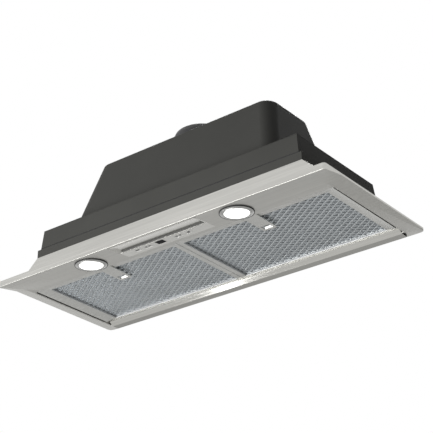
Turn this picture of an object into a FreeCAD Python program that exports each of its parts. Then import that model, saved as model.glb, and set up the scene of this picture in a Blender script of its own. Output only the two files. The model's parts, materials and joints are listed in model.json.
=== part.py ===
import FreeCAD, Part
import os
from math import atan2, cos, degrees, pi, sin

# Built-in range hood in millimetres, +Z up. -Y is the front, where the controls and lamps are.
# The origin is the centre of the seat face, the plane that meets the underside of the cabinet.

# Canopy: the steel frame below the cabinet
RIM_WIDTH = 770.0
RIM_DEPTH = 320.6
RIM_THICK = 3.0
RIM_CORNER = 13.0
RIM_FRONT_CORNER = 6.0
SHEET = 1.0
LIP_HEIGHT = 12.4
PANEL_DEPTH = 71.5
PANEL_RISE = 5.4
MITRE_IN = 44.0
BEVEL_WIDTH = 30.0
BEVEL_DROP = 5.0
SCREW_INSET_X = 135.0
SCREW_INSET_Y = 16.3
SCREW_HOLE_RADIUS = 2.1

# Collar, band and housings above the cabinet's board
COLLAR_HEIGHT = 43.4
COLLAR_FRONT_SETBACK = 34.7
COLLAR_BACK_SETBACK = 31.3
COLLAR_SIDE_SETBACK = 19.0
COLLAR_LEAN = 49.0
HOUSING_SHEET = 1.2
BAND_HEIGHT = 16.4
BAND_LEDGE = 17.0
BAND_STEP = 7.0
BAND_STEP_FRONT = 1.6
BAND_STEP_BACK = 6.0
LOWER_HEIGHT = 39.8
LOWER_TAPER_SIDE = 4.2
LOWER_TAPER_FRONT = 1.8
LOWER_TAPER_BACK = 5.4
UPPER_HEIGHT = 134.8
UPPER_STEP_SIDE = 62.8
UPPER_STEP_FRONT = 14.2
UPPER_STEP_BACK = 17.6
UPPER_TAPER_SIDE = 31.0
UPPER_TOP_FRONT = 68.0
UPPER_TOP_BACK = 63.0
UPPER_CORNER = 25.0
UPPER_FLANGE = 9.0
FLANGE_SCREW_RADIUS = 1.6
FLANGE_SCREW_HEAD = 3.0
FLANGE_SCREW_HEAD_HEIGHT = 2.2

# Round outlet with its two non-return flaps
OUTLET_Y = -3.0
OUTLET_RADIUS = 58.0
OUTLET_WALL = 2.2
OUTLET_STRAIGHT = 13.2
OUTLET_HEIGHT = 22.3
OUTLET_LEAD_IN = 4.0
OUTLET_FLANGE = 2.5
OUTLET_FLANGE_THICK = 1.5
FLAP_THICK = 1.2
FLAP_GAP = 3.3
FLAP_LIFT = 2.6
FLAP_RIM_GAP = 1.5
FLAP_SLEEVE_GAP = 0.4
FLAP_PIN_RADIUS = 1.5
FLAP_SLEEVE_RADIUS = 3.0
FLAP_SLEEVE_LENGTH = 44.0
FLAP_SLEEVE_SPACE = 5.0
RUNNING_CLEARANCE = 0.05

# Blower
AXLE_DROP = 82.4
SCROLL_RADIUS = 66.0
SCROLL_WIDTH = 120.0
SCROLL_WALL = 2.0
DUCT_WIDTH = 84.0
DUCT_DEPTH = 80.0
DUCT_FLANGE = 6.0
INLET_RADIUS = 42.0
IMPELLER_RADIUS = 54.0
IMPELLER_WIDTH = 104.0
IMPELLER_RING = 4.0
IMPELLER_RING_WIDTH = 2.0
IMPELLER_DISC = 4.0
IMPELLER_HUB_RADIUS = 10.0
IMPELLER_HUB_WIDTH = 24.0
BLADE_COUNT = 24
BLADE_DEPTH = 10.0
BLADE_RIM = 0.5
BLADE_THICK = 1.2
SHAFT_RADIUS = 4.0
SHAFT_PAST_HUB = 2.0
MOTOR_RADIUS = 38.0
MOTOR_LENGTH = 52.0
MOTOR_END_WALL = 2.0
MOTOR_STAND_OFF = 18.0
BRACKET_THICK = 3.0
BRACKET_RADIUS = 36.0
BRACKET_HOLE = 13.0
BRACKET_ARM_WIDTH = 12.0
BRACKET_REACH = 55.0
POST_RADIUS = 5.0
BUSH_RADIUS = 6.0
BUSH_LENGTH = 3.0
MOTOR_SCREW_CIRCLE = 25.0
MOTOR_SCREW_RADIUS = 2.0
MOTOR_SCREW_HEAD = 3.5
MOTOR_SCREW_HEAD_HEIGHT = 2.0
MOTOR_SCREW_DEPTH = 6.0

# Electronics under the lower housing's roof
BOX_WIDTH = 52.0
BOX_DEPTH = 140.0
BOX_HEIGHT = 32.0
BOX_WALL = 1.5
BOX_SIDE_GAP = 4.0
BOARD_THICK = 1.6
POWER_BOARD_GAP = 9.5
POWER_BOARD_EDGE = 3.0
CAPACITOR_SIZE = (30.0, 35.0, 22.0)
TERMINAL_SIZE = (36.0, 12.0, 13.0)
GLAND_FROM_BACK = 36.0
GLAND_NECK_RADIUS = 6.0
GLAND_HEAD_RADIUS = 9.0
GLAND_HEAD_HEIGHT = 12.0
GLAND_BORE_RADIUS = 4.0
GLAND_NUT_RADIUS = 10.0
GLAND_NUT_HEIGHT = 4.0
DRIVER_SIZE = (46.0, 90.0, 22.0)

# Lamps in the front panel
LAMP_X = 173.5
LAMP_BACK_EDGE = 0.2
LAMP_RING_RADIUS = 31.4
LAMP_RING_DROP = 3.2
LAMP_HOLE_RADIUS = 26.0
LAMP_SLEEVE_WALL = 3.2
LAMP_SLEEVE_HEIGHT = 5.0
LAMP_LENS_THICK = 1.5
LAMP_LENS_DEPTH = 0.5
LAMP_BODY_HEIGHT = 6.5
LAMP_PLAY = 0.2

# Controls in the front panel, measured along the panel's slope
CONTROL_X = 5.0
CONTROL_WIDTH = 206.0
CONTROL_FRONT_EDGE = 5.0
TROUGH_DEPTH_Y = 29.0
TROUGH_THICK = 7.0
TROUGH_GROOVE_WIDTH = 24.0
TROUGH_GROOVE_DEPTH = 5.4
TROUGH_END_WALL = 8.0
STRIP_DEPTH = 28.0
STRIP_THICK = 2.5
KEY_OFFSETS = (-69.0, -43.5, 29.0, 53.0)
KEY_NAMES = ("button_off", "button_less", "button_more", "button_lamp")
KEY_WIDTH = 14.0
KEY_DEPTH = 10.0
KEY_GAP = 0.3
KEY_FLANGE = 1.0
KEY_FLANGE_THICK = 0.8
KEY_STEM_RADIUS = 2.0
KEY_STEM_HEIGHT = 0.4
KEY_TRAVEL = 0.6
KEY_STOP_GAP = 0.3
DISPLAY_X = -12.7
DISPLAY_WIDTH = 18.6
DISPLAY_DEPTH = 14.4
SWITCH_SIZE = 5.0
SWITCH_HEIGHT = 0.7
CONTROL_BOARD_WIDTH = 176.0
CONTROL_BOARD_DEPTH = 26.0
CONTROL_BOARD_THICK = 1.4

# Grease filters, hung on the back lip and latched at the front
FILTER_SIDE_GAP = 3.6
FILTER_MIDDLE_GAP = 0.8
FILTER_FRONT_GAP = 2.0
FILTER_THICK = 10.0
FILTER_BOTTOM = -1.5
FILTER_LIP = 11.0
FILTER_LIP_GAP = 0.3
FILTER_REST = 2.7
FILTER_BORDER_SIDE = 21.4
FILTER_BORDER_MIDDLE = 10.6
FILTER_BORDER_FRONT = 15.8
FILTER_BORDER_BACK = 5.0
FILTER_WING_DROP = 4.8
FILTER_WING_INSET = 3.0
FILTER_WING_GAP = 6.0
MESH_RECESS = 4.0
MESH_THICK = 1.0
CORE_THICK = 2.0
FILTER_SHEET = 1.2
LATCH_WIDTH = 29.0
LATCH_THICK = 2.2
LATCH_TONGUE_GAP = 0.6
LATCH_REACH = 66.8
LATCH_HOLE_WIDTH = 19.0
LATCH_HOLE_DEPTH = 12.6
LATCH_TAB_WIDTH = 17.0
LATCH_TAB_RISE = 3.4
LATCH_TAB_THICK = 1.4
LATCH_TIP = 5.0

V = FreeCAD.Vector
X_AXIS = V(1, 0, 0)
Z_AXIS = V(0, 0, 1)
os.makedirs("parts", exist_ok=True)


def save(name, shape):
    """Write one node and print its volume."""
    shape.exportStep("parts/" + name + ".step")
    print(name, len(shape.Solids), round(shape.Volume), shape.isValid())


def box(x0, x1, y0, y1, z0, z1):
    return Part.makeBox(x1 - x0, y1 - y0, z1 - z0, V(x0, y0, z0))


def post(radius, x, y, z0, z1):
    """A cylinder standing along Z."""
    return Part.makeCylinder(radius, z1 - z0, V(x, y, z0), Z_AXIS)


def bar(radius, x0, x1, y, z):
    """A cylinder lying along X."""
    return Part.makeCylinder(radius, x1 - x0, V(x0, y, z), X_AXIS)


def together(shapes):
    """All the shapes joined into one, without seams on flat faces."""
    return shapes[0].multiFuse(list(shapes[1:])).removeSplitter()


def group(shapes):
    """Separate solids that share a node."""
    return Part.makeCompound(list(shapes))


def outline(points):
    return Part.makePolygon([V(*point) for point in points] + [V(*points[0])])


def face(points):
    return Part.Face(outline(points))


def prism(points, z0, z1):
    """A plan outline raised from z0 to z1."""
    return face([(x, y, z0) for x, y in points]).extrude(V(0, 0, z1 - z0))


def rounded(x0, x1, y0, y1, z, back_radius, front_radius=None):
    """A closed plan rectangle with round corners."""
    edges = []
    corners = ((x1, y0, 1, -1), (x1, y1, 1, 1), (x0, y1, -1, 1), (x0, y0, -1, -1))
    ends = []
    for x, y, sx, sy in corners:
        radius = front_radius if front_radius and sy < 0 else back_radius
        centre = V(x - sx * radius, y - sy * radius, z)
        along_x = V(centre.x, y, z)
        along_y = V(x, centre.y, z)
        middle = centre + V(sx, sy, 0) * (radius / 2 ** 0.5)
        first = along_x if sx * sy < 0 else along_y
        last = along_y if sx * sy < 0 else along_x
        ends.append((first, middle, last))
    for index, (first, middle, last) in enumerate(ends):
        edges.append(Part.Arc(first, middle, last).toShape())
        following = ends[(index + 1) % 4][0]
        edges.append(Part.LineSegment(last, following).toShape())
    return Part.Wire(edges)


def rounded_prism(x0, x1, y0, y1, z0, z1, radius):
    return Part.Face(rounded(x0, x1, y0, y1, z0, radius)).extrude(V(0, 0, z1 - z0))


def rim_block(inset):
    """The rim's plan outline, moved inward by the inset, as a tall block."""
    plan = rounded(-RIM_HALF + inset, RIM_HALF - inset, FRONT + inset, BACK - inset, -CUT,
                   RIM_CORNER - inset, RIM_FRONT_CORNER - inset)
    return Part.Face(plan).extrude(V(0, 0, 2 * CUT))


def frustum(foot, head, z0, z1):
    """A rectangle (x0, x1, y0, y1) at z0 drawn straight to another one at z1."""
    wires = []
    for (x0, x1, y0, y1), z in ((foot, z0), (head, z1)):
        wires.append(outline([(x0, y0, z), (x1, y0, z), (x1, y1, z), (x0, y1, z)]))
    return Part.makeLoft(wires, True, True)


def shrink(rectangle, wall):
    x0, x1, y0, y1 = rectangle
    return (x0 + wall, x1 - wall, y0 + wall, y1 - wall)


def turned(profile, x, y, z):
    """A ring turned about a vertical line from (radius, height) points."""
    points = [V(radius, 0, height) for radius, height in profile]
    solid = Part.Face(Part.makePolygon(points + [points[0]])).revolve(V(0, 0, 0), Z_AXIS, 360)
    solid.translate(V(x, y, z))
    return solid


# Planes and edges that several pieces share
RIM_HALF = RIM_WIDTH / 2
FRONT = -RIM_DEPTH / 2
BACK = RIM_DEPTH / 2
PANEL_BACK = FRONT + PANEL_DEPTH
PANEL_BACK_HALF = RIM_HALF - MITRE_IN
RIDGE_HALF = RIM_HALF - BEVEL_WIDTH
RIDGE_BACK = BACK - BEVEL_WIDTH
PANEL_TILT = degrees(atan2(PANEL_RISE, PANEL_DEPTH))


def panel_height(y):
    return -LIP_HEIGHT + PANEL_RISE * (y - FRONT) / PANEL_DEPTH


RIDGE_LEVEL = -RIM_THICK - BEVEL_DROP
COLLAR_FRONT = FRONT + COLLAR_FRONT_SETBACK
COLLAR_BACK = BACK - COLLAR_BACK_SETBACK
BAND_TOP = COLLAR_HEIGHT + BAND_HEIGHT
LOWER_TOP = BAND_TOP + LOWER_HEIGHT
UPPER_TOP = LOWER_TOP + UPPER_HEIGHT
AXLE_HEIGHT = UPPER_TOP - AXLE_DROP
COLLAR_FOOT_HALF = RIM_HALF - COLLAR_SIDE_SETBACK
COLLAR_TOP_HALF = COLLAR_FOOT_HALF - COLLAR_LEAN
OPENING = [
    (RIDGE_HALF, PANEL_BACK),
    (RIDGE_HALF, RIDGE_BACK),
    (-RIDGE_HALF, RIDGE_BACK),
    (-RIDGE_HALF, PANEL_BACK),
]


def canopy(inset, top):
    """The closed shape between the seat plane and the underside, moved inward by the inset."""
    half = RIM_HALF - inset
    front = FRONT + inset
    back = BACK - inset
    lip = -LIP_HEIGHT + inset
    panel_level = -LIP_HEIGHT + PANEL_RISE + inset
    ridge_level = RIDGE_LEVEL + inset
    rim_level = -RIM_THICK + inset
    share = (half - RIDGE_HALF) / (half - PANEL_BACK_HALF)
    start = front + share * (PANEL_BACK - front)
    start_level = lip + share * (panel_level - lip)
    ridge_slope = (ridge_level - start_level) / (RIDGE_BACK - start)
    rim_start = rim_level - ridge_slope * (back - start)
    edge = {}
    for side in (1, -1):
        edge[side] = {
            "corner": (side * half, front, lip),
            "panel": (side * PANEL_BACK_HALF, PANEL_BACK, panel_level),
            "start": (side * RIDGE_HALF, start, start_level),
            "ridge": (side * RIDGE_HALF, RIDGE_BACK, ridge_level),
            "rim": (side * half, back, rim_level),
            "rim_start": (side * half, start, rim_start),
            "top_front": (side * half, front, top),
            "top_back": (side * half, back, top),
        }
    right, left = edge[1], edge[-1]
    faces = [
        face([right["top_front"], right["top_back"], left["top_back"], left["top_front"]]),
        face([right["corner"], right["top_front"], left["top_front"], left["corner"]]),
        face([right["rim"], left["rim"], left["top_back"], right["top_back"]]),
        face([right["rim"], left["rim"], left["ridge"], right["ridge"]]),
        face([right["corner"], right["start"], right["panel"], left["panel"], left["start"], left["corner"]]),
        face([right["panel"], right["ridge"], left["ridge"], left["panel"]]),
    ]
    for points in (right, left):
        faces.append(face([points["corner"], points["rim_start"], points["rim"],
                           points["top_back"], points["top_front"]]))
        faces.append(face([points["corner"], points["rim_start"], points["start"]]))
        faces.append(face([points["start"], points["rim_start"], points["rim"], points["ridge"]]))
        faces.append(face([points["start"], points["ridge"], points["panel"]]))
    shell = Part.makeShell(faces)
    shell.sewShape()
    return Part.makeSolid(shell)


def on_panel(shape, x, y):
    """Lay a shape on the sloping panel: its own z = 0 is the panel's outer face."""
    shape.rotate(V(0, 0, 0), X_AXIS, PANEL_TILT)
    shape.translate(V(x, y, panel_height(y)))
    return shape


# Where the lamps and controls lie on the panel
LAMP_Y = PANEL_BACK - LAMP_BACK_EDGE - LAMP_RING_RADIUS
TROUGH_Y = FRONT + CONTROL_FRONT_EDGE + TROUGH_DEPTH_Y / 2
STRIP_FROM_TROUGH = (TROUGH_DEPTH_Y + STRIP_DEPTH) / 2
CUT = 50.0

# Frame with its seat flange, lamp panel, bevels and the back lip that carries the filters
frame = canopy(0.0, 0.0).common(rim_block(0.0))
frame = frame.cut(prism(OPENING, -CUT, CUT))
opening_wall = face([(x, y, -CUT) for x, y in OPENING]).makeOffset2D(SHEET, 2).extrude(V(0, 0, 2 * CUT))
hollow = canopy(SHEET, -SHEET).common(rim_block(SHEET))
frame = frame.cut(hollow.cut(opening_wall))
collar_foot = (-COLLAR_FOOT_HALF, COLLAR_FOOT_HALF, COLLAR_FRONT, COLLAR_BACK)
collar_head = (-COLLAR_TOP_HALF, COLLAR_TOP_HALF, COLLAR_FRONT, COLLAR_BACK)
inner_foot = shrink(collar_foot, SHEET)
frame = frame.cut(box(*collar_foot, -SHEET, CUT))
lip_top = FILTER_BOTTOM - FILTER_LIP_GAP
lip_front = RIDGE_BACK - FILTER_LIP
frame = frame.fuse(box(-RIDGE_HALF, RIDGE_HALF, lip_front, RIDGE_BACK, lip_top - SHEET, lip_top))
for x in (-RIM_HALF + SCREW_INSET_X, RIM_HALF - SCREW_INSET_X):
    for y in (FRONT + SCREW_INSET_Y, BACK - SCREW_INSET_Y):
        frame = frame.cut(post(SCREW_HOLE_RADIUS, x, y, -SHEET * 1.5, SHEET))
for x in (-LAMP_X, LAMP_X):
    frame = frame.cut(on_panel(post(LAMP_HOLE_RADIUS, 0, 0, -LIP_HEIGHT / 3, LIP_HEIGHT / 3), x, LAMP_Y))
control_slot = box(-CONTROL_WIDTH / 2, CONTROL_WIDTH / 2, -TROUGH_DEPTH_Y / 2,
                   TROUGH_DEPTH_Y / 2 + STRIP_DEPTH, -LIP_HEIGHT / 3, LIP_HEIGHT / 3)
frame = frame.cut(on_panel(control_slot, CONTROL_X, TROUGH_Y))
save("fascia_frame", frame.removeSplitter())

# Steel collar, let into the seat flange, that passes up through the cabinet's cut-out
collar = frustum(collar_foot, collar_head, 0, COLLAR_HEIGHT).fuse(box(*collar_foot, -SHEET, 0))
collar = collar.cut(frustum(inner_foot, shrink(collar_head, SHEET), 0, COLLAR_HEIGHT))
collar = collar.cut(box(*inner_foot, -SHEET, 0))
save("collar", collar.removeSplitter())

# Dark base band with an inward ledge
band_plan = collar_head
ledge_z = BAND_TOP - HOUSING_SHEET
band = box(*band_plan, COLLAR_HEIGHT, BAND_TOP)
band = band.cut(box(*shrink(band_plan, HOUSING_SHEET), COLLAR_HEIGHT, ledge_z))
band = band.cut(box(*shrink(band_plan, BAND_LEDGE), COLLAR_HEIGHT, BAND_TOP))
save("base_band", band.removeSplitter())

# Lower housing: low tapered walls, and a roof plate with the opening for the upper housing
x0, x1, y0, y1 = band_plan
lower_foot = (x0 + BAND_STEP, x1 - BAND_STEP, y0 + BAND_STEP_FRONT, y1 - BAND_STEP_BACK)
lower_head = (lower_foot[0] + LOWER_TAPER_SIDE, lower_foot[1] - LOWER_TAPER_SIDE,
              lower_foot[2] + LOWER_TAPER_FRONT, lower_foot[3] - LOWER_TAPER_BACK)
roof = LOWER_TOP - HOUSING_SHEET
upper_foot = (lower_head[0] + UPPER_STEP_SIDE, lower_head[1] - UPPER_STEP_SIDE,
              lower_head[2] + UPPER_STEP_FRONT, lower_head[3] - UPPER_STEP_BACK)
upper_head = (upper_foot[0] + UPPER_TAPER_SIDE, upper_foot[1] - UPPER_TAPER_SIDE,
              OUTLET_Y - UPPER_TOP_FRONT, OUTLET_Y + UPPER_TOP_BACK)
upper_inner_foot = shrink(upper_foot, HOUSING_SHEET)
upper_inner_head = shrink(upper_head, HOUSING_SHEET)
upper_inner_corner = UPPER_CORNER - HOUSING_SHEET
lower = frustum(lower_foot, lower_head, BAND_TOP, LOWER_TOP)
lower_space = frustum(shrink(lower_foot, HOUSING_SHEET), shrink(lower_head, HOUSING_SHEET), BAND_TOP, LOWER_TOP)
roof_layer = box(*band_plan, roof, LOWER_TOP)
save("lower_housing", lower.cut(lower_space).cut(roof_layer))
plate = lower.common(roof_layer).cut(rounded_prism(*upper_inner_foot, roof, LOWER_TOP, upper_inner_corner))

flange_plan = shrink(upper_foot, -UPPER_FLANGE)
screw_x0, screw_x1, screw_y0, screw_y1 = shrink(upper_foot, -UPPER_FLANGE / 2)
screw_points = []
for x in (screw_x0, screw_x1):
    for y in (screw_y0 / 2, screw_y1 / 2):
        screw_points.append((x, y))
for y in (screw_y0, screw_y1):
    for x in (screw_x0 / 2, screw_x1 / 2):
        screw_points.append((x, y))

box_side = lower_head[0] + HOUSING_SHEET + BOX_SIDE_GAP
gland_x = box_side + BOX_WIDTH / 2
gland_y = BOX_DEPTH / 2 - GLAND_FROM_BACK
plate = plate.cut(post(GLAND_NECK_RADIUS, gland_x, gland_y, roof, LOWER_TOP))

# Upper housing: tapered walls with round corners and a foot flange, and a roof with the outlet hole
upper = Part.makeLoft([rounded(*upper_foot, LOWER_TOP, UPPER_CORNER),
                       rounded(*upper_head, UPPER_TOP, UPPER_CORNER)], True, True)
upper_roof = UPPER_TOP - HOUSING_SHEET
upper_space = Part.makeLoft([rounded(*upper_inner_foot, LOWER_TOP, upper_inner_corner),
                             rounded(*upper_inner_head, UPPER_TOP, upper_inner_corner)], True, True)
flange = rounded_prism(*flange_plan, LOWER_TOP, LOWER_TOP + HOUSING_SHEET, UPPER_CORNER + UPPER_FLANGE)
upper = upper.fuse(flange).cut(upper_space.cut(box(*flange_plan, upper_roof, UPPER_TOP)))
outlet_bore = OUTLET_RADIUS - OUTLET_WALL
upper = upper.cut(post(outlet_bore, 0, OUTLET_Y, upper_roof, UPPER_TOP))

screws = []
for x, y in screw_points:
    hole = post(FLANGE_SCREW_RADIUS, x, y, roof, LOWER_TOP + HOUSING_SHEET)
    plate = plate.cut(hole)
    upper = upper.cut(hole)
    head_z = LOWER_TOP + HOUSING_SHEET
    head = post(FLANGE_SCREW_HEAD, x, y, head_z, head_z + FLANGE_SCREW_HEAD_HEIGHT)
    screws.append(hole.fuse(head))
inner_x0, inner_x1 = upper_inner_foot[:2]
roof_parts = [plate.common(box(x0, inner_x0, y0, y1, roof, LOWER_TOP)),
              plate.common(box(inner_x1, x1, y0, y1, roof, LOWER_TOP)),
              plate.common(box(inner_x0, inner_x1, y0, 0, roof, LOWER_TOP)),
              plate.common(box(inner_x0, inner_x1, 0, y1, roof, LOWER_TOP))]
save("lower_roof", group(roof_parts))
top_layer = box(*flange_plan, upper_roof, UPPER_TOP)
save("upper_housing", upper.cut(top_layer).removeSplitter())
save("upper_roof", upper.common(top_layer).removeSplitter())
save("upper_screws", group(screws))

# Outlet collar, its hinge pin and the two flaps that close it when the fan stops
flap_z = FLAP_GAP
pin_z = UPPER_TOP + flap_z + FLAP_LIFT
pin_reach = OUTLET_RADIUS - OUTLET_WALL / 2
outlet = turned([
    (outlet_bore, 0),
    (OUTLET_RADIUS + OUTLET_FLANGE, 0),
    (OUTLET_RADIUS + OUTLET_FLANGE, OUTLET_FLANGE_THICK),
    (OUTLET_RADIUS, OUTLET_FLANGE_THICK),
    (OUTLET_RADIUS, OUTLET_STRAIGHT),
    (OUTLET_RADIUS - OUTLET_LEAD_IN, OUTLET_HEIGHT),
    (OUTLET_RADIUS - OUTLET_LEAD_IN - OUTLET_WALL, OUTLET_HEIGHT),
    (outlet_bore, OUTLET_STRAIGHT),
], 0, OUTLET_Y, UPPER_TOP)
pin = bar(FLAP_PIN_RADIUS, -pin_reach, pin_reach, OUTLET_Y, pin_z)
save("outlet_collar", outlet.cut(pin))
save("flap_pin", pin)

sleeve_bore = FLAP_PIN_RADIUS + RUNNING_CLEARANCE
plate_edge = FLAP_SLEEVE_RADIUS + FLAP_SLEEVE_GAP
flap_radius = OUTLET_RADIUS - OUTLET_LEAD_IN - OUTLET_WALL - FLAP_RIM_GAP
for name, side in (("flap_front", -1), ("flap_back", 1)):
    plate_z = UPPER_TOP + flap_z
    disc = post(flap_radius, 0, OUTLET_Y, plate_z, plate_z + FLAP_THICK)
    half_y = sorted((OUTLET_Y + side * plate_edge, OUTLET_Y + side * (OUTLET_RADIUS + 1)))
    plate = disc.common(box(-OUTLET_RADIUS, OUTLET_RADIUS, *half_y, plate_z - 1, plate_z + FLAP_THICK + 1))
    start = FLAP_SLEEVE_SPACE if side > 0 else -FLAP_SLEEVE_SPACE - FLAP_SLEEVE_LENGTH
    sleeve = bar(FLAP_SLEEVE_RADIUS, start, start + FLAP_SLEEVE_LENGTH, OUTLET_Y, pin_z)
    web_y = sorted((OUTLET_Y, OUTLET_Y + side * (plate_edge + 2)))
    web = box(start, start + FLAP_SLEEVE_LENGTH, *web_y, plate_z, plate_z + FLAP_THICK)
    bore = bar(sleeve_bore, start - 1, start + FLAP_SLEEVE_LENGTH + 1, OUTLET_Y, pin_z)
    save(name, together([plate, sleeve, web]).cut(bore))

# Blower case: a drum with a duct up to the outlet, closed by two covers with the inlets
half_width = SCROLL_WIDTH / 2
duct_top = upper_roof
drum = bar(SCROLL_RADIUS, -half_width, half_width, OUTLET_Y, AXLE_HEIGHT)
duct = box(-DUCT_WIDTH / 2, DUCT_WIDTH / 2, OUTLET_Y - DUCT_DEPTH / 2, OUTLET_Y + DUCT_DEPTH / 2,
           AXLE_HEIGHT, duct_top)
duct_plan = (-DUCT_WIDTH / 2, DUCT_WIDTH / 2, OUTLET_Y - DUCT_DEPTH / 2, OUTLET_Y + DUCT_DEPTH / 2)
rim = box(*shrink(duct_plan, -DUCT_FLANGE), duct_top - SCROLL_WALL, duct_top)
inner_drum = bar(SCROLL_RADIUS - SCROLL_WALL, -half_width + SCROLL_WALL, half_width - SCROLL_WALL,
                 OUTLET_Y, AXLE_HEIGHT)
inner_duct = box(*shrink(duct_plan, SCROLL_WALL), AXLE_HEIGHT, duct_top)
inlets = bar(INLET_RADIUS, -half_width, half_width, OUTLET_Y, AXLE_HEIGHT)
scroll = together([drum, duct, rim]).cut(together([inner_drum, inner_duct, inlets]))
cover_x = half_width - SCROLL_WALL
for name, ends in (("scroll_cover_left", (-half_width, -cover_x)), ("scroll_cover_right", (cover_x, half_width))):
    slab = box(*ends, OUTLET_Y - SCROLL_RADIUS, OUTLET_Y + SCROLL_RADIUS,
               AXLE_HEIGHT - SCROLL_RADIUS, AXLE_HEIGHT + SCROLL_RADIUS)
    save(name, scroll.common(slab))
    scroll = scroll.cut(slab)
save("scroll_case", scroll.removeSplitter())

# Motor on a three-armed bracket with rubber bushes, beside the left inlet
bracket_x = -half_width - MOTOR_STAND_OFF
bush_x = -half_width - BUSH_LENGTH
angles = [2 * pi * k / 3 + pi / 2 for k in range(3)]
hub = bar(BRACKET_RADIUS, bracket_x, bracket_x + BRACKET_THICK, OUTLET_Y, AXLE_HEIGHT)
bracket_parts = [hub]
bushes = []
motor_screws = []
for angle in angles:
    y = OUTLET_Y + BRACKET_REACH * cos(angle)
    z = AXLE_HEIGHT + BRACKET_REACH * sin(angle)
    arm = box(bracket_x, bracket_x + BRACKET_THICK, 0, BRACKET_REACH, -BRACKET_ARM_WIDTH / 2, BRACKET_ARM_WIDTH / 2)
    arm.rotate(V(0, 0, 0), X_AXIS, degrees(angle))
    arm.translate(V(0, OUTLET_Y, AXLE_HEIGHT))
    bracket_parts.append(arm)
    bracket_parts.append(bar(POST_RADIUS, bracket_x, bush_x, y, z))
    bushes.append(bar(BUSH_RADIUS, bush_x, -half_width, y, z))
    screw_y = OUTLET_Y - MOTOR_SCREW_CIRCLE * cos(angle)
    screw_z = AXLE_HEIGHT - MOTOR_SCREW_CIRCLE * sin(angle)
    shank = bar(MOTOR_SCREW_RADIUS, bracket_x - MOTOR_SCREW_DEPTH, bracket_x + BRACKET_THICK, screw_y, screw_z)
    cap_x = bracket_x + BRACKET_THICK
    cap = bar(MOTOR_SCREW_HEAD, cap_x, cap_x + MOTOR_SCREW_HEAD_HEIGHT, screw_y, screw_z)
    motor_screws.append((shank, shank.fuse(cap)))
bracket = together(bracket_parts)
bracket = bracket.cut(bar(BRACKET_HOLE, bracket_x, bracket_x + BRACKET_THICK, OUTLET_Y, AXLE_HEIGHT))
motor = bar(MOTOR_RADIUS, bracket_x - MOTOR_LENGTH, bracket_x, OUTLET_Y, AXLE_HEIGHT)
shaft_end = bracket_x - MOTOR_LENGTH + MOTOR_END_WALL
motor = motor.cut(bar(SHAFT_RADIUS + RUNNING_CLEARANCE, shaft_end, bracket_x, OUTLET_Y, AXLE_HEIGHT))
for shank, screw in motor_screws:
    bracket = bracket.cut(shank)
    motor = motor.cut(shank)
save("motor_bracket", bracket)
save("motor_bushes", group(bushes))
save("motor_body", motor)
save("motor_screws", group(screw for shank, screw in motor_screws))

shaft_tip = IMPELLER_HUB_WIDTH / 2 + SHAFT_PAST_HUB
shaft = bar(SHAFT_RADIUS, shaft_end + 0.5, shaft_tip, OUTLET_Y, AXLE_HEIGHT)
save("motor_shaft", shaft)

# Squirrel-cage impeller pressed on the motor shaft
half_impeller = IMPELLER_WIDTH / 2
blade_foot = IMPELLER_RADIUS - BLADE_DEPTH
wheel = together([
    bar(blade_foot, -IMPELLER_DISC / 2, IMPELLER_DISC / 2, OUTLET_Y, AXLE_HEIGHT),
    bar(IMPELLER_HUB_RADIUS, -IMPELLER_HUB_WIDTH / 2, IMPELLER_HUB_WIDTH / 2, OUTLET_Y, AXLE_HEIGHT),
])
save("impeller", wheel.cut(shaft))
rings = []
for x in (-half_impeller, half_impeller - IMPELLER_RING_WIDTH):
    hoop = bar(IMPELLER_RADIUS, x, x + IMPELLER_RING_WIDTH, OUTLET_Y, AXLE_HEIGHT)
    rings.append(hoop.cut(bar(IMPELLER_RADIUS - IMPELLER_RING, x, x + IMPELLER_RING_WIDTH, OUTLET_Y, AXLE_HEIGHT)))
save("impeller_rings", group(rings))
blade_end = half_impeller - IMPELLER_RING_WIDTH
blades = []
for k in range(BLADE_COUNT):
    blade = box(-blade_end, blade_end, blade_foot, IMPELLER_RADIUS - BLADE_RIM, -BLADE_THICK / 2, BLADE_THICK / 2)
    blade.rotate(V(0, 0, 0), X_AXIS, 360.0 * k / BLADE_COUNT)
    blade.translate(V(0, OUTLET_Y, AXLE_HEIGHT))
    blades.append(blade)
save("impeller_blades", group(blades))

# Electronics box hung from the lower housing's roof, left of the upper housing
box_plan = (box_side, box_side + BOX_WIDTH, -BOX_DEPTH / 2, BOX_DEPTH / 2)
box_bottom = roof - BOX_HEIGHT
case = box(*box_plan, box_bottom, roof)
box_ceiling = roof - BOX_WALL
case = case.cut(box(*shrink(box_plan, BOX_WALL), box_bottom, box_ceiling))
case = case.cut(post(GLAND_NECK_RADIUS, gland_x, gland_y, box_ceiling, roof))
save("electronics_box", case)
save("electronics_lid", box(*box_plan, box_bottom - BOX_WALL, box_bottom))
board_plan = shrink(box_plan, BOX_WALL + POWER_BOARD_EDGE)
board_front = board_plan[2]
board_z = box_ceiling - BOARD_THICK
board_back = gland_y - GLAND_NUT_RADIUS - POWER_BOARD_GAP
save("power_board", box(board_plan[0], board_plan[1], board_front, board_back, board_z, box_ceiling))
cap_x, cap_y, cap_h = CAPACITOR_SIZE
cap_mid = (board_front + board_back) / 2
save("capacitor", box(gland_x - cap_x / 2, gland_x + cap_x / 2, cap_mid - cap_y / 2, cap_mid + cap_y / 2,
                      board_z - cap_h, board_z))
block_x, block_y, block_h = TERMINAL_SIZE
block_back = box_plan[3] - BOX_WALL - POWER_BOARD_EDGE
save("terminal_block", box(gland_x - block_x / 2, gland_x + block_x / 2, block_back - block_y, block_back,
                           box_ceiling - block_h, box_ceiling))
nut_bottom = box_ceiling - GLAND_NUT_HEIGHT
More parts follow.
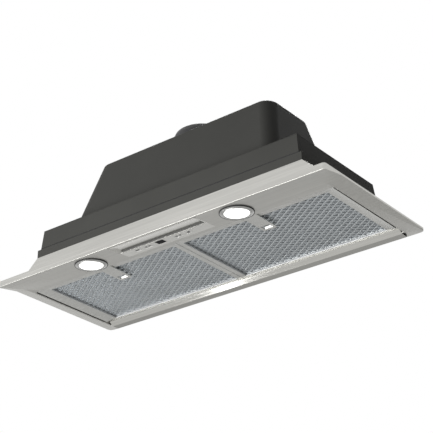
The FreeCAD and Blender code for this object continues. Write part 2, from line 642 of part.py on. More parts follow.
gland = together([
    post(GLAND_NECK_RADIUS, gland_x, gland_y, nut_bottom, LOWER_TOP),
    post(GLAND_HEAD_RADIUS, gland_x, gland_y, LOWER_TOP, LOWER_TOP + GLAND_HEAD_HEIGHT),
])
gland = gland.cut(post(GLAND_BORE_RADIUS, gland_x, gland_y, nut_bottom, LOWER_TOP + GLAND_HEAD_HEIGHT))
save("cable_gland", gland)
nut = post(GLAND_NUT_RADIUS, gland_x, gland_y, nut_bottom, box_ceiling)
save("gland_nut", nut.cut(post(GLAND_NECK_RADIUS, gland_x, gland_y, nut_bottom, box_ceiling)))
driver_x, driver_y, driver_h = DRIVER_SIZE
driver_edge = lower_head[1] - HOUSING_SHEET - BOX_SIDE_GAP
save("lamp_driver", box(driver_edge - driver_x, driver_edge, -driver_y / 2, driver_y / 2, roof - driver_h, roof))

# Lamps: a steel ring, a frosted lens and a flat body behind it
lens_radius = LAMP_HOLE_RADIUS - LAMP_SLEEVE_WALL
lens_front = -LAMP_RING_DROP + LAMP_LENS_DEPTH
lens_back = lens_front + LAMP_LENS_THICK
for name, x in (("left", -LAMP_X), ("right", LAMP_X)):
    ring = turned([
        (LAMP_RING_RADIUS, 0),
        (LAMP_RING_RADIUS - 1.5, -LAMP_RING_DROP * 0.6),
        (LAMP_HOLE_RADIUS - 0.5, -LAMP_RING_DROP),
        (lens_radius, -LAMP_RING_DROP),
        (lens_radius, LAMP_SLEEVE_HEIGHT),
        (LAMP_HOLE_RADIUS, LAMP_SLEEVE_HEIGHT),
        (LAMP_HOLE_RADIUS, 0),
    ], 0, 0, 0)
    save("lamp_ring_" + name, on_panel(ring, x, LAMP_Y))
    lens = post(lens_radius - LAMP_PLAY, 0, 0, lens_front, lens_back)
    save("lamp_lens_" + name, on_panel(lens, x, LAMP_Y))
    puck = post(lens_radius - LAMP_PLAY, 0, 0, lens_back, LAMP_BODY_HEIGHT)
    save("lamp_body_" + name, on_panel(puck, x, LAMP_Y))

# Finger trough and the control strip behind it
trough = box(-CONTROL_WIDTH / 2, CONTROL_WIDTH / 2, -TROUGH_DEPTH_Y / 2, TROUGH_DEPTH_Y / 2, 0, TROUGH_THICK)
groove_radius = (TROUGH_GROOVE_WIDTH ** 2 / 4 + TROUGH_GROOVE_DEPTH ** 2) / (2 * TROUGH_GROOVE_DEPTH)
groove_half = CONTROL_WIDTH / 2 - TROUGH_END_WALL
trough = trough.cut(bar(groove_radius, -groove_half, groove_half, 0, TROUGH_GROOVE_DEPTH - groove_radius))
save("control_trough", on_panel(trough, CONTROL_X, TROUGH_Y))

y0 = STRIP_FROM_TROUGH - STRIP_DEPTH / 2
y1 = STRIP_FROM_TROUGH + STRIP_DEPTH / 2
strip = box(-CONTROL_WIDTH / 2, CONTROL_WIDTH / 2, y0, y1, 0, STRIP_THICK)
display_plan = (DISPLAY_X - DISPLAY_WIDTH / 2, DISPLAY_X + DISPLAY_WIDTH / 2,
                STRIP_FROM_TROUGH - DISPLAY_DEPTH / 2, STRIP_FROM_TROUGH + DISPLAY_DEPTH / 2)
strip = strip.cut(box(*display_plan, 0, STRIP_THICK))
save("display_window", on_panel(box(*display_plan, 0, STRIP_THICK), CONTROL_X, TROUGH_Y))
flange_z = STRIP_THICK + KEY_GAP
stem_z = flange_z + KEY_FLANGE_THICK
stem_top = stem_z + KEY_STEM_HEIGHT
switch_z = stem_top + KEY_TRAVEL + KEY_STOP_GAP
control_board_z = switch_z + SWITCH_HEIGHT
switches = []
for name, x in zip(KEY_NAMES, KEY_OFFSETS):
    key_plan = (x - KEY_WIDTH / 2, x + KEY_WIDTH / 2,
                STRIP_FROM_TROUGH - KEY_DEPTH / 2, STRIP_FROM_TROUGH + KEY_DEPTH / 2)
    strip = strip.cut(box(*shrink(key_plan, -KEY_GAP), 0, STRIP_THICK))
    key = together([
        box(*key_plan, 0, flange_z),
        box(*shrink(key_plan, -KEY_FLANGE), flange_z, stem_z),
        post(KEY_STEM_RADIUS, x, STRIP_FROM_TROUGH, stem_z, stem_top),
    ])
    save(name, on_panel(key, CONTROL_X, TROUGH_Y))
    switches.append(box(x - SWITCH_SIZE / 2, x + SWITCH_SIZE / 2, STRIP_FROM_TROUGH - SWITCH_SIZE / 2,
                        STRIP_FROM_TROUGH + SWITCH_SIZE / 2, switch_z, control_board_z))
save("control_strip", on_panel(strip, CONTROL_X, TROUGH_Y))
save("display_module", on_panel(box(*shrink(display_plan, 1.0), STRIP_THICK, control_board_z), CONTROL_X, TROUGH_Y))
board = box(-CONTROL_BOARD_WIDTH / 2, CONTROL_BOARD_WIDTH / 2, STRIP_FROM_TROUGH - CONTROL_BOARD_DEPTH / 2,
            STRIP_FROM_TROUGH + CONTROL_BOARD_DEPTH / 2, control_board_z, control_board_z + CONTROL_BOARD_THICK)
save("control_board", on_panel(board, CONTROL_X, TROUGH_Y))
save("button_switches", on_panel(group(switches), CONTROL_X, TROUGH_Y))

# Grease filters: a channel frame, an expanded-metal sheet and a core of finer layers
filter_inner = FILTER_MIDDLE_GAP / 2
filter_outer = RIDGE_HALF - FILTER_SIDE_GAP
filter_front = PANEL_BACK + FILTER_FRONT_GAP
filter_back = lip_front + FILTER_REST
filter_top = FILTER_BOTTOM + FILTER_THICK
mesh_z = FILTER_BOTTOM + MESH_RECESS
core_z = mesh_z + MESH_THICK
mesh_x0 = filter_inner + FILTER_BORDER_MIDDLE
mesh_x1 = filter_outer - FILTER_BORDER_SIDE
mesh_y0 = filter_front + FILTER_BORDER_FRONT
mesh_y1 = filter_back - FILTER_BORDER_BACK
latch_x = LAMP_X
latch_z1 = FILTER_BOTTOM - FILTER_LIP_GAP
latch_z0 = latch_z1 - LATCH_THICK
latch_y0 = PANEL_BACK + LATCH_TONGUE_GAP
latch_y1 = latch_y0 + LATCH_REACH
for name, side in (("left", -1), ("right", 1)):
    outer_x = sorted((side * filter_inner, side * filter_outer))
    mesh_x = sorted((side * mesh_x0, side * mesh_x1))
    filter_frame = box(*outer_x, filter_front, filter_back, FILTER_BOTTOM, filter_top)
    window = (*mesh_x, mesh_y0, mesh_y1)
    filter_frame = filter_frame.cut(box(*window, FILTER_BOTTOM, filter_top))
    channel = box(*shrink((*outer_x, filter_front, filter_back), FILTER_SHEET), FILTER_BOTTOM + FILTER_SHEET, filter_top)
    channel = channel.cut(box(*shrink(window, -FILTER_SHEET), FILTER_BOTTOM, filter_top))
    filter_frame = filter_frame.cut(channel)
    wing = face([(side * (mesh_x1 + FILTER_WING_INSET), filter_front, FILTER_BOTTOM),
                 (side * filter_outer, filter_front, FILTER_BOTTOM),
                 (side * filter_outer, filter_front, FILTER_BOTTOM - FILTER_WING_DROP)])
    wing = wing.extrude(V(0, lip_front - FILTER_WING_GAP - filter_front, 0))
    save("filter_frame_" + name, filter_frame.fuse(wing).removeSplitter())
    save("filter_mesh_" + name, box(*mesh_x, mesh_y0, mesh_y1, mesh_z, core_z))
    save("filter_core_" + name, box(*mesh_x, mesh_y0, mesh_y1, core_z, core_z + CORE_THICK))
    x = side * latch_x
    latch = box(x - LATCH_WIDTH / 2, x + LATCH_WIDTH / 2, latch_y0, latch_y1, latch_z0, latch_z1)
    tab_y = latch_y1 - LATCH_TIP
    latch = latch.cut(box(x - LATCH_HOLE_WIDTH / 2, x + LATCH_HOLE_WIDTH / 2,
                          tab_y - LATCH_HOLE_DEPTH, tab_y, latch_z0, latch_z1))
    tab_x = x - LATCH_TAB_WIDTH / 2
    tab_z = latch_z0 + LATCH_TAB_RISE
    tab = face([(tab_x, tab_y, latch_z0), (tab_x, tab_y - LATCH_TAB_RISE, tab_z),
                (tab_x, tab_y - LATCH_TAB_RISE + LATCH_TAB_THICK, tab_z), (tab_x, tab_y, latch_z0 + LATCH_TAB_THICK)])
    tab = tab.extrude(V(LATCH_TAB_WIDTH, 0, 0))
    save("latch_" + name, latch.fuse(tab).removeSplitter())
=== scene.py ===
"""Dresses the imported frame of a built-in range hood: finished pieces, finishes, and a plain stage."""

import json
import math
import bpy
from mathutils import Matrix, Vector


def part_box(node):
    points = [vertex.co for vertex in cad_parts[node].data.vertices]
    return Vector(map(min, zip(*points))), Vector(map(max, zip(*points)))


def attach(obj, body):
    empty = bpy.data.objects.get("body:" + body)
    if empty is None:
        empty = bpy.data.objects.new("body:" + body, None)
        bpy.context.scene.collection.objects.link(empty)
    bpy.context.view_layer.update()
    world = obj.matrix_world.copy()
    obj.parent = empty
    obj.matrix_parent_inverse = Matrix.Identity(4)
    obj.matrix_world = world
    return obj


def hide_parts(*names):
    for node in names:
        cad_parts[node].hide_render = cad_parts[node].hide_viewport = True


bl_info = {
    "name": "Range hood dressing",
    "version": (1, 0, 0),
    "blender": (4, 5, 0),
    "location": "3D View > Sidebar > Hood",
    "description": "Finished pieces, finishes and a stage for a built-in range hood",
    "category": "Object",
}

import bmesh
import bpy
from mathutils import Vector

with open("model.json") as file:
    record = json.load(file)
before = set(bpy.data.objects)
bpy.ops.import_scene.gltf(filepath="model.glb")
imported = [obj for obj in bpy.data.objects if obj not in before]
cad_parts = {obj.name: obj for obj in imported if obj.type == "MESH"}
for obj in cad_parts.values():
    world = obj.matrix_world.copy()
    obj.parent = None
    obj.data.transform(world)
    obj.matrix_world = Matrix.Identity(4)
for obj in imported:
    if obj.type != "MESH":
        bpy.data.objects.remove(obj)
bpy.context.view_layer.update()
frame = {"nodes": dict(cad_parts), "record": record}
MM = 0.001
SIDES = ("left", "right")

# Points closer than this are one point
MERGE = 0.004 * MM

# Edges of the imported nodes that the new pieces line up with
RIM_LOW, RIM_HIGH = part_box("fascia_frame")
BAND_LOW, BAND_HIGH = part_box("base_band")
LOWER_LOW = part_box("lower_housing")[0]
UPPER_LOW, UPPER_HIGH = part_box("upper_housing")
ROOF_LOW, ROOF_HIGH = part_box("upper_roof")
OUTLET_LOW, OUTLET_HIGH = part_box("outlet_collar")
TROUGH_LOW, TROUGH_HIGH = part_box("control_trough")

# The sloping lamp panel, and the ridges around the filters
PANEL_RISE = 5.4 * MM
PANEL_DEPTH = 71.5 * MM
PANEL_BACK = RIM_LOW.y + PANEL_DEPTH
PANEL_TILT = math.atan2(PANEL_RISE, PANEL_DEPTH)
LIP_LEVEL = -12.4 * MM
RIDGE_INSET = 30.0 * MM
RIDGE_HALF = RIM_HIGH.x - RIDGE_INSET
RIDGE_BACK = RIM_HIGH.y - RIDGE_INSET
RIDGE_LOWEST = -9.8 * MM
RIDGE_HIGHEST = -6.2 * MM

# Section of the hem behind the filters, in millimetres: depth, height
HEM_PROFILE = ((121.2, -3.1), (132.3, -9.6), (147.6, -10.1), (148.3, -3.0))
HEM_END_GAP = 3.0 * MM
HEM_SHEET = 0.7 * MM

# A dark skin round the lower housing's foot that paints the shadow in the joint above the band: its ends,
# the slope of its upper end behind the band, its skin
SEAM_SHADOW_FOOT = 0.4 * MM
SEAM_SHADOW_TOP = 1.6 * MM
SEAM_SHADOW_SLOPE = 0.65
SEAM_SHADOW_SKIN = 0.2 * MM

# The upper housing's foot flange, its sheet, and the hole for the outlet
FLANGE = 9.0 * MM
HOUSING_SHEET = 1.2 * MM
OUTLET_HOLE = 55.8 * MM
CUTTER_HEIGHT = 20.0 * MM

# Turned profiles in millimetres: radius, height
SCREW_PROFILE = (
    (0.001, 0.0), (3.0, 0.0), (3.0, 0.6), (2.9, 1.2), (2.5, 1.8), (1.8, 2.1), (0.9, 2.2), (0.001, 2.2))
OUTLET_PROFILE = (
    (55.8, 0.0), (60.1, 0.0), (60.5, 0.4), (60.5, 1.1), (60.1, 1.5), (58.6, 1.5), (58.0, 2.1), (58.0, 12.8),
    (57.6, 14.0), (54.4, 21.7), (54.0, 22.2), (53.4, 22.3), (52.2, 22.3), (51.8, 21.9), (51.9, 21.4),
    (55.6, 13.6), (55.8, 13.0))
RING_PROFILE = (
    (30.1, 0.0), (30.1, -1.6), (29.8, -1.9), (26.4, -2.2), (25.8, -2.4), (25.6, -3.0), (25.2, -3.2),
    (24.0, -3.2), (23.5, -3.0), (22.8, -2.3), (22.8, 5.0), (26.0, 5.0), (26.0, 0.0))
LENS_PROFILE = (
    (22.6, -1.2), (22.6, -2.2), (22.0, -2.5), (17.0, -2.65), (8.0, -2.72), (0.001, -2.75), (0.001, -1.2))
# The black rubber gasket round each lamp ring, in part painted shadow in the gap round the ring
SHADOW_GASKET_PROFILE = (
    (30.1, -0.01), (31.4, -0.01), (31.4, -1.3), (31.1, -1.65), (30.5, -1.75), (30.1, -1.6))

# Screw heads: height, size and middle of the cross recess, and the reach of one screw's points
SCREW_HEIGHT = 2.2 * MM
RECESS_SIZE = (3.4 * MM, 0.75 * MM, 1.9 * MM)
RECESS_LEVEL = 2.1 * MM
SCREW_REACH = 9.0 * MM

# Filter mesh: heights of its two layers, thickness of the metal, and how far the strands slant
OUTER_LAYER = 0.45 * MM
INNER_LAYER = 0.95 * MM
MESH_SHEET = 0.45 * MM
STRAND_SLANT = 0.14

# Folded edge round the mesh, darker than the frame as painted shade at the window's edge: its lower end just
# inside the filter frame's face, its play, its sheet
FOLD_FACE = -1.2 * MM
FOLD_PLAY = 0.1 * MM
FOLD_SHEET = 0.3 * MM

LATCH_CORNER = 4.0 * MM
LAMP_SETBACK = 31.6 * MM

# How far the strip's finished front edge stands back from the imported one
STRIP_SETBACK = 4.8 * MM

# Finger trough: its outline, and its loops in millimetres about its middle as end inset, front, back, height
TROUGH_WIDTH = 206.0 * MM
TROUGH_DEPTH = 33.8 * MM
TROUGH_STEPS = (
    (1.6, -15.8, 15.8, 0.3),
    (3.0, -14.6, 15.3, 0.6),
    (5.0, -3.0, 15.1, 2.7),
    (9.0, 12.5, 14.8, 3.2),
)
TROUGH_CORNER = 5.0 * MM
TROUGH_EDGE = 0.8 * MM
TROUGH_SHEET = 0.8 * MM
TROUGH_MIDDLE = RIM_LOW.y + 19.5 * MM + STRIP_SETBACK / 2
# A dark wall that paints the shade at the trough's deep end: its size, and its place about the trough's
# middle
SHADE_WALL_SIZE = (197.0 * MM, 0.6 * MM, 3.0 * MM)
SHADE_WALL_PLACE = (0, 14.4 * MM, 1.7 * MM)

# Printed marks of each key, in millimetres: corners, width, depth, place across the key
KEY_MARKS = {
    "button_off": ((4, 9.0, 3.6, 0.0),),
    "button_less": ((3, 7.6, 7.4, -3.8), (4, 5.6, 2.8, 3.8)),
    "button_more": ((3, 7.6, 7.4, -3.8), (3, 7.6, 7.4, 3.8)),
    "button_lamp": ((16, 6.4, 6.4, 0.0),),
}
MARK_PROUD = 0.05 * MM
MARK_HEIGHT = 0.15 * MM

# Stage: width of the floor in metres, the part of it that shows as pale, and the photo's camera
FLOOR_WIDTH = 14.0
PALE_SHARE = 0.6
CAMERA_PLACE = (1.41484, -1.72057, -1.03576)
CAMERA_TURN = (math.radians(116.698), 0.0, math.radians(38.796))
CAMERA_LENS = 109.04
CAMERA_SENSOR = 36.0
CAMERA_REACH = (0.05, 60.0)


# Modelling helpers

def panel_level(y):
    """Height of the lamp panel's outer face at a depth y."""
    return LIP_LEVEL + (y - RIM_LOW.y) * PANEL_RISE / PANEL_DEPTH


def leave_edit():
    bpy.ops.object.mode_set(mode="OBJECT")


def clear_selection():
    if bpy.context.mode != "OBJECT":
        leave_edit()
    bpy.ops.object.select_all(action="DESELECT")


def select_only(piece):
    clear_selection()
    piece.select_set(True)
    bpy.context.view_layer.objects.active = piece


def edit(piece):
    select_only(piece)
    bpy.ops.object.mode_set(mode="EDIT")


def begin(primitive, name, **size):
    """Add a primitive, put its size and place in its mesh, and open it in edit mode."""
    clear_selection()
    primitive(**size)
    bpy.ops.object.transform_apply(location=True, rotation=True, scale=True)
    piece = bpy.context.active_object
    piece.name = name
    piece.data.name = name
    bpy.ops.object.mode_set(mode="EDIT")
    return piece


def take_all():
    """Select the whole of the open piece."""
    bpy.ops.mesh.select_all(action="SELECT")


def pick(piece, kind, test):
    """Select the vertices, edges or faces of the open piece that pass a test."""
    mode = {"verts": "VERT", "edges": "EDGE", "faces": "FACE"}[kind]
    bpy.ops.mesh.select_mode(type=mode)
    bpy.ops.mesh.select_all(action="DESELECT")
    mesh = bmesh.from_edit_mesh(piece.data)
    mesh.normal_update()
    for element in getattr(mesh, kind):
        if test(element):
            element.select_set(True)
    mesh.select_flush_mode()
    bmesh.update_edit_mesh(piece.data)


def both(test):
    """An edge test: both ends pass."""
    return lambda edge: all(test(vert.co) for vert in edge.verts)


def near(a, b, gap=0.06 * MM):
    return abs(a - b) < gap


def draw_edges(value):
    """Extrude the selected edges of the open piece."""
    bpy.ops.mesh.extrude_edges_move(TRANSFORM_OT_translate={"value": value})


def draw_faces(value):
    """Extrude the selected faces of the open piece."""
    bpy.ops.mesh.extrude_region_move(TRANSFORM_OT_translate={"value": value})


def bevel_edges(radius, steps):
    """Round the selected edges of the open piece."""
    bpy.ops.mesh.bevel(offset=radius, segments=steps, profile=0.5, affect="EDGES")


def face_out():
    """Turn all faces of the open piece outwards."""
    take_all()
    bpy.ops.mesh.normals_make_consistent(inside=False)


def apply_modifier(piece, kind, **settings):
    select_only(piece)
    modifier = piece.modifiers.new(kind.lower(), kind)
    for key, value in settings.items():
        setattr(modifier, key, value)
    bpy.ops.object.modifier_apply(modifier=modifier.name)


def thicken(piece, sheet, offset=-1.0):
    apply_modifier(piece, "SOLIDIFY", thickness=sheet, offset=offset)


def round_edges(piece, width, angle, clamp=True):
    """Round all edges that turn by more than an angle in degrees."""
    apply_modifier(piece, "BEVEL", width=width, segments=2, limit_method="ANGLE",
                   angle_limit=math.radians(angle), use_clamp_overlap=clamp)


def smooth(piece, angle=35.0):
    """Shade a piece smooth, apart from edges that turn by more than an angle in degrees."""
    select_only(piece)
    bpy.ops.object.shade_smooth_by_angle(angle=math.radians(angle))


def smooth_evenly(piece, angle=35.0):
    """Shade a piece smooth, with its large faces kept flat."""
    smooth(piece, angle)
    apply_modifier(piece, "WEIGHTED_NORMAL", keep_sharp=True)


def settle(piece, location, tilt=0.0):
    """Put a piece in its place and leave its object at the origin."""
    select_only(piece)
    piece.rotation_euler = (tilt, 0, 0)
    piece.location = location
    bpy.ops.object.transform_apply(location=True, rotation=True, scale=True)


def on_panel(piece, x, y):
    """Put a piece on the lamp panel."""
    settle(piece, (x, y, panel_level(y)), PANEL_TILT)


def fit(piece, body, slot, *nodes, look=None):
    """Give a piece its finish, and tie it to its body and the nodes it stands for."""
    piece.data.materials.clear()
    piece.data.materials.append(finish_of(look or slot))
    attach(piece, body)
    if nodes:
        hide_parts(*nodes)


def copy_of(piece, name):
    twin = bpy.data.objects.new(name, piece.data.copy())
    bpy.context.scene.collection.objects.link(twin)
    return twin


def soften(node, width, rounds=()):
    """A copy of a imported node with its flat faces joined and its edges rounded.

    Each of the rounds is an edge test, a radius and a number of steps, and comes before the other edges.
    """
    piece = copy_of(frame["nodes"][node], node + "_finished")
    edit(piece)
    take_all()
    bpy.ops.mesh.remove_doubles(threshold=MERGE)
    bpy.ops.mesh.dissolve_limited(angle_limit=math.radians(0.4))
    bpy.ops.mesh.customdata_custom_splitnormals_clear()
    for test, radius, steps in rounds:
        pick(piece, "edges", test)
        bevel_edges(radius, steps)
    leave_edit()
    if width:
        round_edges(piece, width, angle=40, clamp=False)
    smooth_evenly(piece)
    return piece


def lathe(name, profile, steps):
    """A closed ring: a circle that is extruded and scaled along the points of a turned profile."""
    points = [(radius * MM, height * MM) for radius, height in profile]
    radius, height = points[0]
    piece = begin(bpy.ops.mesh.primitive_circle_add, name, vertices=steps, radius=radius,
                  location=(0, 0, height))
    bpy.ops.mesh.select_mode(type="EDGE")
    take_all()
    for wide, high in points[1:] + points[:1]:
        draw_edges((0, 0, high - height))
        bpy.ops.transform.resize(value=(wide / radius, wide / radius, 1), center_override=(0, 0, high))
        radius, height = wide, high
    take_all()
    bpy.ops.mesh.remove_doubles(threshold=MERGE)
    face_out()
    leave_edit()
    return piece


def join(pieces, name):
    clear_selection()
    for piece in pieces:
        piece.select_set(True)
    bpy.context.view_layer.objects.active = pieces[0]
    bpy.ops.object.join()
    pieces[0].name = name
    pieces[0].data.name = name
    return pieces[0]


def cut_away(piece, cutter):
    """Take the shape of a cutter out of a piece, and remove the cutter."""
    apply_modifier(piece, "BOOLEAN", operation="DIFFERENCE", object=cutter, solver="EXACT")
    bpy.data.objects.remove(cutter)


def places_of(node, reach):
    """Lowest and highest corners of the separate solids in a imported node."""
    groups = []
    for vert in frame["nodes"][node].data.vertices:
        for group in groups:
            if (vert.co - group[0]).length < reach:
                group.append(vert.co)
                break
        else:
            groups.append([vert.co])
    return [(Vector(map(min, zip(*group))), Vector(map(max, zip(*group)))) for group in groups]


# Finishes

class Finish:
    """A node material that is built up layer by layer on Object coordinates."""

    def __init__(self, name, colour, roughness, metallic=0.0):
        self.material = bpy.data.materials.new(name)
        self.material.use_nodes = True
        self.nodes = self.material.node_tree.nodes
        self.links = self.material.node_tree.links
        self.shader = self.nodes["Principled BSDF"]
        self.colour = tuple(colour)
        self.put("Base Color", (*self.colour, 1))
        self.put("Roughness", roughness)
        self.put("Metallic", metallic)

    def put(self, socket, value):
        self.shader.inputs[socket].default_value = value

    def noise(self, cells, detail=2.0, rough=0.55):
        """Noise with so many cells to a metre, alike on all axes or given for x, y and z."""
        coords = self.nodes.new("ShaderNodeTexCoord")
        mapping = self.nodes.new("ShaderNodeMapping")
        noise = self.nodes.new("ShaderNodeTexNoise")
        mapping.inputs["Scale"].default_value = cells if isinstance(cells, tuple) else (cells, cells, cells)
        noise.inputs["Scale"].default_value = 1.0
        noise.inputs["Detail"].default_value = detail
        noise.inputs["Roughness"].default_value = rough
        self.links.new(coords.outputs["Object"], mapping.inputs["Vector"])
        self.links.new(mapping.outputs["Vector"], noise.inputs["Vector"])
        return noise.outputs["Fac"]

    def shade(self, source, dark, light):
        """Vary the colour between two multiples of itself."""
        ramp = self.nodes.new("ShaderNodeValToRGB")
        for stop, position, share in zip(ramp.color_ramp.elements, (0.3, 0.7), (dark, light)):
            stop.position = position
            stop.color = (*[c * share for c in self.colour], 1)
        self.links.new(source, ramp.inputs["Fac"])
        self.links.new(ramp.outputs["Color"], self.shader.inputs["Base Color"])

    def polish(self, source, low, high):
        """Vary the roughness between two values."""
        ranger = self.nodes.new("ShaderNodeMapRange")
        ranger.inputs["From Min"].default_value = 0.3
        ranger.inputs["From Max"].default_value = 0.7
        ranger.inputs["To Min"].default_value = low
        ranger.inputs["To Max"].default_value = high
        self.links.new(source, ranger.inputs["Value"])
        self.links.new(ranger.outputs["Result"], self.shader.inputs["Roughness"])

    def bump(self, source, strength, distance):
        bump = self.nodes.new("ShaderNodeBump")
        bump.inputs["Strength"].default_value = strength
        bump.inputs["Distance"].default_value = distance
        self.links.new(source, bump.inputs["Height"])
        self.links.new(bump.outputs["Normal"], self.shader.inputs["Normal"])


def brushed(name, colour, roughness, streak=(5.0, 330.0, 330.0)):
    """Metal with brush lines along its length."""
    finish = Finish(name, colour, roughness, metallic=1.0)
    coarse = finish.noise(streak, detail=4.0, rough=0.7)
    fine = finish.noise((9.0, 2200.0, 2200.0))
    finish.shade(coarse, dark=0.91, light=1.08)
    finish.polish(coarse, low=roughness - 0.05, high=roughness + 0.06)
    finish.bump(fine, strength=0.10, distance=0.05 * MM)
    return finish.material


def painted(name, colour, roughness):
    """Dull paint with a slight peel."""
    finish = Finish(name, colour, roughness)
    finish.put("Specular IOR Level", 0.04)
    cloud = finish.noise(9.0, detail=3.0)
    peel = finish.noise(900.0)
    finish.shade(cloud, dark=0.94, light=1.06)
    finish.polish(cloud, low=roughness - 0.04, high=roughness + 0.05)
    finish.bump(peel, strength=0.06, distance=0.08 * MM)
    return finish.material


def satin(name, colour, roughness):
    """Metal with an even fine grain."""
    finish = Finish(name, colour, roughness, metallic=1.0)
    grain = finish.noise(400.0, detail=3.0)
    cloud = finish.noise(14.0)
    finish.shade(cloud, dark=0.95, light=1.05)
    finish.polish(grain, low=roughness - 0.06, high=roughness + 0.06)
    finish.bump(grain, strength=0.08, distance=0.06 * MM)
    return finish.material


def moulded(name, colour, roughness):
    """Plastic, rubber or ink with a fine grain."""
    finish = Finish(name, colour, roughness)
    finish.put("Specular IOR Level", 0.4)
    grain = finish.noise(700.0)
    cloud = finish.noise(25.0)
    finish.shade(cloud, dark=0.93, light=1.07)
    finish.polish(grain, low=roughness - 0.05, high=roughness + 0.05)
    finish.bump(grain, strength=0.12, distance=0.08 * MM)
    return finish.material


def window(name, colour):
    """Dark display glass."""
    finish = Finish(name, colour, 0.2)
    finish.put("Specular IOR Level", 0.03)
    grain = finish.noise(300.0)
    finish.shade(grain, dark=0.8, light=1.2)
    finish.polish(grain, low=0.16, high=0.26)
    return finish.material


def glowing(name, colour, strength):
    """A lit frosted lens."""
    finish = Finish(name, colour, 0.35)
    frost = finish.noise(900.0)
    finish.shade(frost, dark=0.97, light=1.0)
    finish.bump(frost, strength=0.1, distance=0.05 * MM)
    finish.put("Emission Color", (1.0, 0.99, 0.97, 1))
    finish.put("Emission Strength", strength)
    return finish.material


def woven(name, colour):
    """Fine layers of mesh, one behind the other; the dark colour it is given paints the shade inside the
    layers.
    """
    finish = Finish(name, colour, 0.5, metallic=0.6)
    weave = finish.noise(700.0)
    finish.shade(weave, dark=0.5, light=1.5)
    finish.bump(weave, strength=0.6, distance=0.4 * MM)
    return finish.material


FINISHES = {}


def finish_of(name):
    """A finish by its name, made at its first use: the record's slots, and finishes of single pieces."""
    if name not in FINISHES:
        look = bpy.context.scene.hood_finishes
        makers = {
            "steel": lambda: brushed("brushed_steel", look.steel, 0.36),
            "hem": lambda: brushed("back_hem_steel", look.steel, 0.13),
            # The canopy steel made lighter: painted light on the trough's floor
            "trough": lambda: brushed("trough_steel", [1.15 * c for c in look.steel], 0.24),
            # Dark plastic, painted shade at the trough's deep end
            "slot": lambda: moulded("trough_wall_plastic", (0.07, 0.07, 0.068), 0.7),
            # A near-black finish, painted shadow in the joint between the band and the lower housing
            "seam": lambda: moulded("seam_seal", (0.02, 0.02, 0.02), 0.8),
            # The folded edge: darker than the filter frames, painted shade round the edge of each filter's
            # window
            "fold": lambda: satin("mesh_edge_fold", (0.45, 0.455, 0.46), 0.6),
            "ink": lambda: moulded("key_mark_ink", (0.02, 0.02, 0.021), 0.6),
            # Darker than the mesh: painted shade deep inside the filter's layers
            "core": lambda: woven("filter_core_layers", (0.27, 0.282, 0.295)),
            "lamp_steel": lambda: satin("lamp_ring_steel", look.lamp_ring, 0.3),
            "housing": lambda: painted("housing_paint", look.housing, 0.5),
            "black_plastic": lambda: moulded("black_moulding", (0.03, 0.03, 0.031), 0.5),
            "fastener": lambda: satin("zinc_screw", (0.5, 0.5, 0.49), 0.35),
            "motor": lambda: satin("motor_shell", (0.35, 0.35, 0.34), 0.45),
            "rubber": lambda: moulded("bush_rubber", (0.015, 0.015, 0.015), 0.75),
            "aluminium": lambda: brushed("filter_aluminium", look.filter_frame, 0.38, (60.0, 260.0, 260.0)),
            "mesh": lambda: satin("mesh_aluminium", look.mesh, 0.32),
            "latch": lambda: satin("latch_metal", look.latch, 0.32),
            "lens": lambda: glowing("lamp_lens_frost", (0.9, 0.9, 0.88), look.lamp_glow),
            "lamp_body": lambda: moulded("lamp_body_plastic", (0.7, 0.7, 0.68), 0.5),
            "strip": lambda: satin("control_strip_foil", look.strip, 0.4),
            "display": lambda: window("display_glass", (0.004, 0.004, 0.005)),
            "board": lambda: moulded("circuit_board", (0.03, 0.13, 0.05), 0.4),
            "component": lambda: moulded("component_plastic", (0.12, 0.12, 0.13), 0.5),
        }
        FINISHES[name] = makers[name]()
    return FINISHES[name]


# Values a user would change

class HoodFinishes(bpy.types.PropertyGroup):
    steel: bpy.props.FloatVectorProperty(
        name="Steel", description="Colour of the brushed steel canopy",
        subtype="COLOR", default=(0.50, 0.495, 0.47))
    lamp_ring: bpy.props.FloatVectorProperty(
        name="Lamp ring", description="Colour of the rings around the lamps",
        subtype="COLOR", default=(0.45, 0.45, 0.44))
    housing: bpy.props.FloatVectorProperty(
        name="Housing", description="Colour of the dark housing paint",
        subtype="COLOR", default=(0.064, 0.064, 0.06))
    filter_frame: bpy.props.FloatVectorProperty(
        name="Filter frame", description="Colour of the filter frames",
        subtype="COLOR", default=(0.585, 0.585, 0.565))
    mesh: bpy.props.FloatVectorProperty(
        name="Mesh", description="Colour of the expanded metal",
        subtype="COLOR", default=(0.49, 0.515, 0.53))
    latch: bpy.props.FloatVectorProperty(
        name="Latch", description="Colour of the filter latches",
        subtype="COLOR", default=(0.60, 0.60, 0.58))
    strip: bpy.props.FloatVectorProperty(
        name="Control strip", description="Colour of the control strip and its keys",
        subtype="COLOR", default=(0.64, 0.635, 0.61))
    lamp_glow: bpy.props.FloatProperty(
        name="Lamp glow", description="Strength of the lit lamp lenses", default=1.3, min=0.0)


